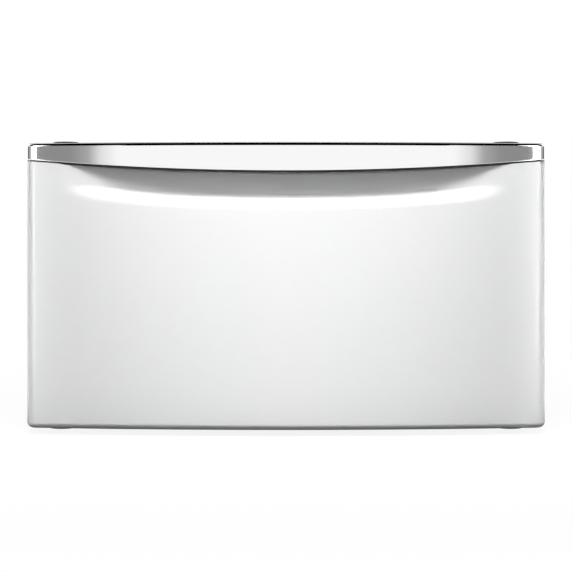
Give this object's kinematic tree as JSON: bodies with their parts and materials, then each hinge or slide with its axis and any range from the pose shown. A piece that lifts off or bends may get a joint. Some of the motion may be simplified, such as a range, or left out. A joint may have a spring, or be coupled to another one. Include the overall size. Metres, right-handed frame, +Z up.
{
  "type": "washer pedestal drawer",
  "caption": "Laundry pedestal: a steel cabinet on levelling feet that carries a washer, with a full-extension storage drawer whose bowed front has a bright handle strip over a finger pocket.",
  "frame": {"origin": "on the floor under the middle of the pedestal", "axes": "+X to the right seen from the front, +Y towards the back, +Z up; the drawer opens along -Y"},
  "size_m": [0.6872, 0.676, 0.39],
  "materials": {
    "gloss_white": "gloss",
    "white_enamel": "gloss",
    "black_enamel": "satin",
    "bright_trim": "polished",
    "zinc": "satin",
    "dark_plastic": "satin",
    "rubber": "matte"
  },
  "bodies": {
    "cabinet": {"side_panel_left": "white_enamel", "side_panel_right": "white_enamel", "back_panel": "white_enamel", "top_front_rail": "white_enamel", "top_rear_rail": "white_enamel", "base_front_rail": "white_enamel", "base_rear_rail": "white_enamel", "washer_seat_front_left": "black_enamel", "foot_bracket_front_left": "zinc", "washer_seat_rear_left": "black_enamel", "foot_bracket_rear_left": "zinc", "washer_seat_front_right": "black_enamel", "foot_bracket_front_right": "zinc", "washer_seat_rear_right": "black_enamel", "foot_bracket_rear_right": "zinc", "slide_support_left": "zinc", "slide_outer_left": "zinc", "slide_support_right": "zinc", "slide_outer_right": "zinc", "foot_weld_nuts": "zinc", "foot_jam_nuts": "zinc", "drawer_bumpers": "rubber", "cabinet_screws": "zinc", "slide_rivets": "zinc"},
    "drawer": {"front_panel": "gloss_white", "handle_strip": "bright_trim", "handle_grip": "dark_plastic", "front_top_cap": "gloss_white", "front_liner": "zinc", "drawer_bottom": "zinc", "drawer_side_left": "zinc", "drawer_side_right": "zinc", "drawer_rear_wall": "zinc", "drawer_front_wall": "zinc", "slide_inner_left": "zinc", "slide_inner_right": "zinc", "drawer_rivets": "zinc", "front_screws": "zinc", "divider_guides": "zinc"},
    "divider_plate": {"divider": "white_enamel"},
    "middle_member_left": {"slide_middle_left": "zinc"},
    "outer_cage_left": {"ball_cage_outer_left": "zinc"},
    "inner_cage_left": {"ball_cage_inner_left": "zinc"},
    "lever_left": {"release_lever_left": "dark_plastic"},
    "pad_front_left": {"foot_pad_front_left": "rubber"},
    "stud_front_left": {"foot_stud_front_left": "zinc"},
    "pad_rear_left": {"foot_pad_rear_left": "rubber"},
    "stud_rear_left": {"foot_stud_rear_left": "zinc"},
    "middle_member_right": {"slide_middle_right": "zinc"},
    "outer_cage_right": {"ball_cage_outer_right": "zinc"},
    "inner_cage_right": {"ball_cage_inner_right": "zinc"},
    "lever_right": {"release_lever_right": "dark_plastic"},
    "pad_front_right": {"foot_pad_front_right": "rubber"},
    "stud_front_right": {"foot_stud_front_right": "zinc"},
    "pad_rear_right": {"foot_pad_rear_right": "rubber"},
    "stud_rear_right": {"foot_stud_rear_right": "zinc"}
  },
  "joints": [
    {"name": "drawer_slide", "type": "slide", "parent": "cabinet", "child": "drawer", "axis": [0, -1, 0], "range_m": [0, 0.48]},
    {"name": "middle_member_left_slide", "type": "slide", "parent": "cabinet", "child": "middle_member_left", "axis": [0, -1, 0], "range_m": [0, 0.24]},
    {"name": "outer_cage_left_slide", "type": "slide", "parent": "cabinet", "child": "outer_cage_left", "axis": [0, -1, 0], "range_m": [0, 0.12]},
    {"name": "inner_cage_left_slide", "type": "slide", "parent": "cabinet", "child": "inner_cage_left", "axis": [0, -1, 0], "range_m": [0, 0.36]},
    {"name": "middle_member_right_slide", "type": "slide", "parent": "cabinet", "child": "middle_member_right", "axis": [0, -1, 0], "range_m": [0, 0.24]},
    {"name": "outer_cage_right_slide", "type": "slide", "parent": "cabinet", "child": "outer_cage_right", "axis": [0, -1, 0], "range_m": [0, 0.12]},
    {"name": "inner_cage_right_slide", "type": "slide", "parent": "cabinet", "child": "inner_cage_right", "axis": [0, -1, 0], "range_m": [0, 0.36]},
    {"name": "lever_left_pivot", "type": "hinge", "parent": "drawer", "child": "lever_left", "pos_m": [-0.3101, -0.1344, 0.143], "axis": [-1, 0, 0], "range_deg": [0, 4], "stiffness_Nm_per_rad": 0.05},
    {"name": "lever_right_pivot", "type": "hinge", "parent": "drawer", "child": "lever_right", "pos_m": [0.3101, -0.1344, 0.143], "axis": [-1, 0, 0], "range_deg": [0, 4], "stiffness_Nm_per_rad": 0.05},
    {"name": "divider_lift", "type": "slide", "parent": "drawer", "child": "divider_plate", "axis": [0, 0, 1], "range_m": [0, 0.075]},
    {"name": "foot_front_left_height", "type": "slide", "parent": "cabinet", "child": "pad_front_left", "axis": [0, 0, -1], "range_m": [0, 0.02]},
    {"name": "foot_front_left_turn", "type": "hinge", "parent": "pad_front_left", "child": "stud_front_left", "pos_m": [-0.305, -0.2224, 0.02], "axis": [0, 0, -1], "range_deg": [0, 4800]},
    {"name": "foot_rear_left_height", "type": "slide", "parent": "cabinet", "child": "pad_rear_left", "axis": [0, 0, -1], "range_m": [0, 0.02]},
    {"name": "foot_rear_left_turn", "type": "hinge", "parent": "pad_rear_left", "child": "stud_rear_left", "pos_m": [-0.305, 0.2904, 0.02], "axis": [0, 0, -1], "range_deg": [0, 4800]},
    {"name": "foot_front_right_height", "type": "slide", "parent": "cabinet", "child": "pad_front_right", "axis": [0, 0, -1], "range_m": [0, 0.02]},
    {"name": "foot_front_right_turn", "type": "hinge", "parent": "pad_front_right", "child": "stud_front_right", "pos_m": [0.305, -0.2224, 0.02], "axis": [0, 0, -1], "range_deg": [0, 4800]},
    {"name": "foot_rear_right_height", "type": "slide", "parent": "cabinet", "child": "pad_rear_right", "axis": [0, 0, -1], "range_m": [0, 0.02]},
    {"name": "foot_rear_right_turn", "type": "hinge", "parent": "pad_rear_right", "child": "stud_rear_right", "pos_m": [0.305, 0.2904, 0.02], "axis": [0, 0, -1], "range_deg": [0, 4800]}
  ],
  "couplings": [
    {"joint": "middle_member_left_slide", "follows": "drawer_slide", "ratio": 0.5},
    {"joint": "outer_cage_left_slide", "follows": "drawer_slide", "ratio": 0.25},
    {"joint": "inner_cage_left_slide", "follows": "drawer_slide", "ratio": 0.75},
    {"joint": "middle_member_right_slide", "follows": "drawer_slide", "ratio": 0.5},
    {"joint": "outer_cage_right_slide", "follows": "drawer_slide", "ratio": 0.25},
    {"joint": "inner_cage_right_slide", "follows": "drawer_slide", "ratio": 0.75},
    {"joint": "foot_front_left_turn", "follows": "foot_front_left_height", "rad_per_m": 4188.8},
    {"joint": "foot_rear_left_turn", "follows": "foot_rear_left_height", "rad_per_m": 4188.8},
    {"joint": "foot_front_right_turn", "follows": "foot_front_right_height", "rad_per_m": 4188.8},
    {"joint": "foot_rear_right_turn", "follows": "foot_rear_right_height", "rad_per_m": 4188.8}
  ]
}
